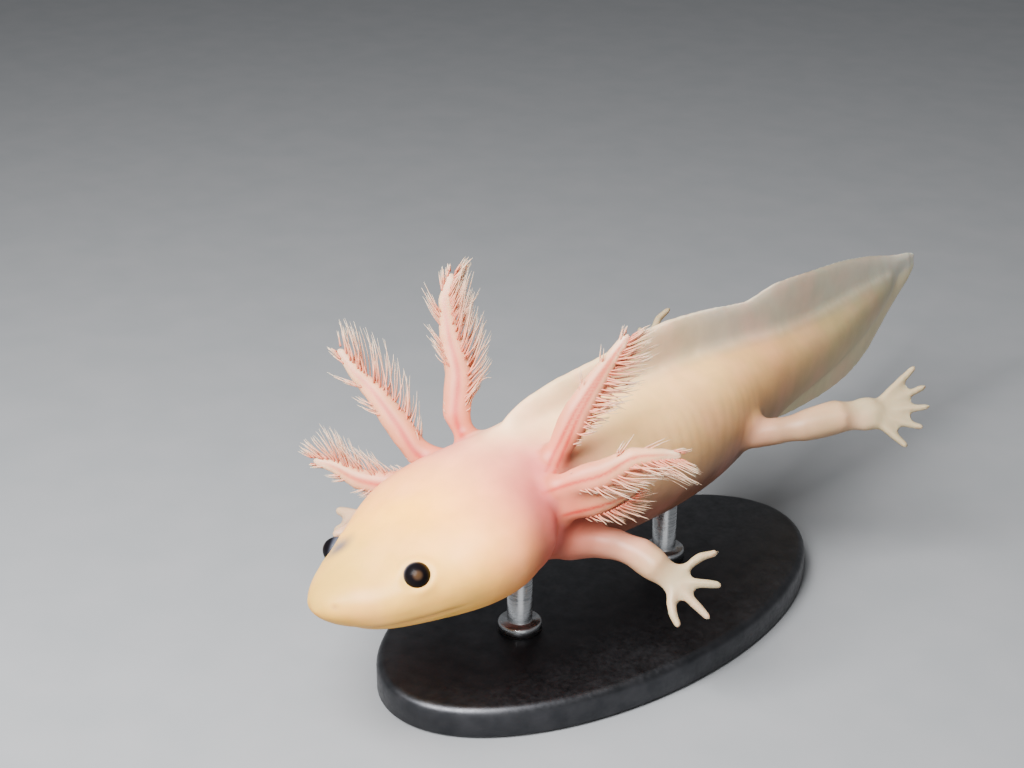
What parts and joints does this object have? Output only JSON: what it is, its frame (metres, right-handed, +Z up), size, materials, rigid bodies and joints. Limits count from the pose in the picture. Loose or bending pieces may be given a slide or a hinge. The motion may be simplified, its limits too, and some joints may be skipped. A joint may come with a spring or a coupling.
{
  "type": "axolotl",
  "caption": "Young pale axolotl with feathery outer gills, gliding with its legs swept back and its tail a little bent, as a still model on a flat oval stand with short rods.",
  "frame": {"origin": "middle of the flat underside of the stand's base", "axes": "+Z up, -Y towards the animal's nose, +Y along its body to the tail, +X towards its left side"},
  "size_m": [0.0329, 0.0849, 0.0307],
  "materials": {
    "cream_skin": "moist, soft, pale cream skin, slightly see-through",
    "rosy_skin": "moist, soft, rosy skin over the gill roots and shoulders",
    "tan_skin": "moist, soft, tan skin over the tail's muscle",
    "clear_fin": "thin, see-through grey-cream fin skin",
    "pale_limb": "moist, pale, see-through skin of the legs and toes",
    "gill_flesh": "pink, blood-filled gill stalk",
    "gill_plume": "fine, pinkish white gill filaments",
    "dark_eye": "wet, dark eyeball",
    "black_stand": "blackened steel, satin",
    "steel_rod": "plain steel rod"
  },
  "bodies": {
    "root": {"head": "cream_skin", "lower_jaw": "cream_skin", "eye_left": "dark_eye", "eye_right": "dark_eye", "neck": "rosy_skin", "trunk": "cream_skin", "tail_front": "tan_skin", "tail_rear": "tan_skin", "dorsal_fin": "clear_fin", "tail_fin_upper": "clear_fin", "tail_fin_lower": "clear_fin", "fore_left_upper": "pale_limb", "fore_left_lower": "pale_limb", "fore_left_hand": "pale_limb", "hind_left_upper": "pale_limb", "hind_left_lower": "pale_limb", "hind_left_foot": "pale_limb", "fore_right_upper": "pale_limb", "fore_right_lower": "pale_limb", "fore_right_hand": "pale_limb", "hind_right_upper": "pale_limb", "hind_right_lower": "pale_limb", "hind_right_foot": "pale_limb", "gill_dorsal_left": "gill_flesh", "plume_dorsal_left": "gill_plume", "gill_middle_left": "gill_flesh", "plume_middle_left": "gill_plume", "gill_ventral_left": "gill_flesh", "plume_ventral_left": "gill_plume", "gill_dorsal_right": "gill_flesh", "plume_dorsal_right": "gill_plume", "gill_middle_right": "gill_flesh", "plume_middle_right": "gill_plume", "gill_ventral_right": "gill_flesh", "plume_ventral_right": "gill_plume", "stand_base": "black_stand", "stand_rod_front": "steel_rod", "stand_rod_rear": "steel_rod"}
  },
  "joints": []
}
